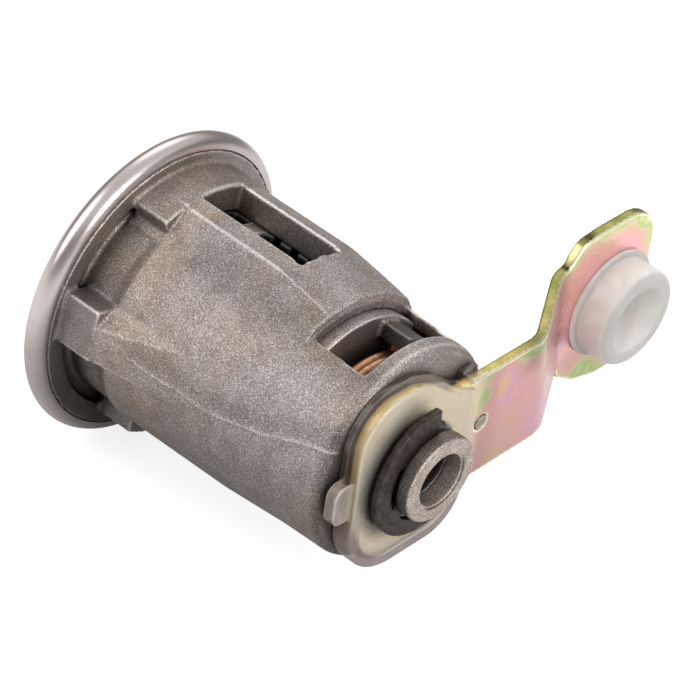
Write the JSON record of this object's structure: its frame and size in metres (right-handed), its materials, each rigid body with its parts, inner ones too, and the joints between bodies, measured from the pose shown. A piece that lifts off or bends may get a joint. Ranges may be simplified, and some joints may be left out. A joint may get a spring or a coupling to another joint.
{
  "type": "car door lock cylinder",
  "caption": "Door lock cylinder: a cast housing with a rolled bezel holds a sprung key rotor, whose tail carries a cranked lever with a rod bush.",
  "frame": {"origin": "on the lock's axis, in the plane of the flange's rear face, which seats on the door panel", "axes": "+Y along the lock from the key face to the tail, +Z toward the boss with the wafer slot, lever toward -X"},
  "size_m": [0.0615, 0.0424, 0.035],
  "materials": {
    "die_cast": "blasted zinc casting",
    "stainless": "satin",
    "yellow_zinc": "yellow zinc plating",
    "clear_plastic": "clear moulding",
    "dark_steel": "phosphated",
    "nylon": "natural milky nylon",
    "spring_wire": "copper-coloured wire",
    "wafer_brass": "blanked",
    "steel_wire": "drawn wire"
  },
  "bodies": {
    "housing": {"housing": "die_cast", "bezel_cap": "stainless", "return_spring": "spring_wire"},
    "plug": {"rotor": "die_cast", "rotor_face": "stainless", "shutter_pin": "steel_wire", "lever": "yellow_zinc", "lever_cover": "clear_plastic", "e_clip": "dark_steel", "wafer_spring_1": "steel_wire", "wafer_spring_2": "steel_wire", "wafer_spring_3": "steel_wire", "wafer_spring_4": "steel_wire", "wafer_spring_5": "steel_wire"},
    "shutter": {"shutter": "stainless", "shutter_spring": "steel_wire"},
    "bush": {"rod_bush": "nylon"},
    "wafer_1": {"wafer_1": "wafer_brass"},
    "wafer_2": {"wafer_2": "wafer_brass"},
    "wafer_3": {"wafer_3": "wafer_brass"},
    "wafer_4": {"wafer_4": "wafer_brass"},
    "wafer_5": {"wafer_5": "wafer_brass"}
  },
  "joints": [
    {"name": "plug_turn", "type": "hinge", "parent": "housing", "child": "plug", "pos_m": [0, 0, 0], "axis": [0, 1, 0], "range_deg": [-55, 55], "stiffness_Nm_per_rad": 0.12},
    {"name": "shutter_swing", "type": "hinge", "parent": "plug", "child": "shutter", "pos_m": [0.0032, -0.00125, 0], "axis": [0, 0, -1], "range_deg": [0, 80], "stiffness_Nm_per_rad": 0.002, "springref_deg": -17.19},
    {"name": "bush_spin", "type": "hinge", "parent": "plug", "child": "bush", "pos_m": [-0.03678, 0.03, 0.00581], "axis": [0, 1, 0], "continuous": true},
    {"name": "wafer_1_slide", "type": "slide", "parent": "plug", "child": "wafer_1", "axis": [0, 0, -1], "range_m": [0, 0.0015], "stiffness_N_per_m": 150, "springref_m": -0.001, "deforming": ["wafer_spring_1"]},
    {"name": "wafer_2_slide", "type": "slide", "parent": "plug", "child": "wafer_2", "axis": [0, 0, -1], "range_m": [0, 0.0015], "stiffness_N_per_m": 150, "springref_m": -0.001, "deforming": ["wafer_spring_2"]},
    {"name": "wafer_3_slide", "type": "slide", "parent": "plug", "child": "wafer_3", "axis": [0, 0, -1], "range_m": [0, 0.0015], "stiffness_N_per_m": 150, "springref_m": -0.001, "deforming": ["wafer_spring_3"]},
    {"name": "wafer_4_slide", "type": "slide", "parent": "plug", "child": "wafer_4", "axis": [0, 0, -1], "range_m": [0, 0.0015], "stiffness_N_per_m": 150, "springref_m": -0.001, "deforming": ["wafer_spring_4"]},
    {"name": "wafer_5_slide", "type": "slide", "parent": "plug", "child": "wafer_5", "axis": [0, 0, -1], "range_m": [0, 0.0015], "stiffness_N_per_m": 150, "springref_m": -0.001, "deforming": ["wafer_spring_5"]}
  ]
}
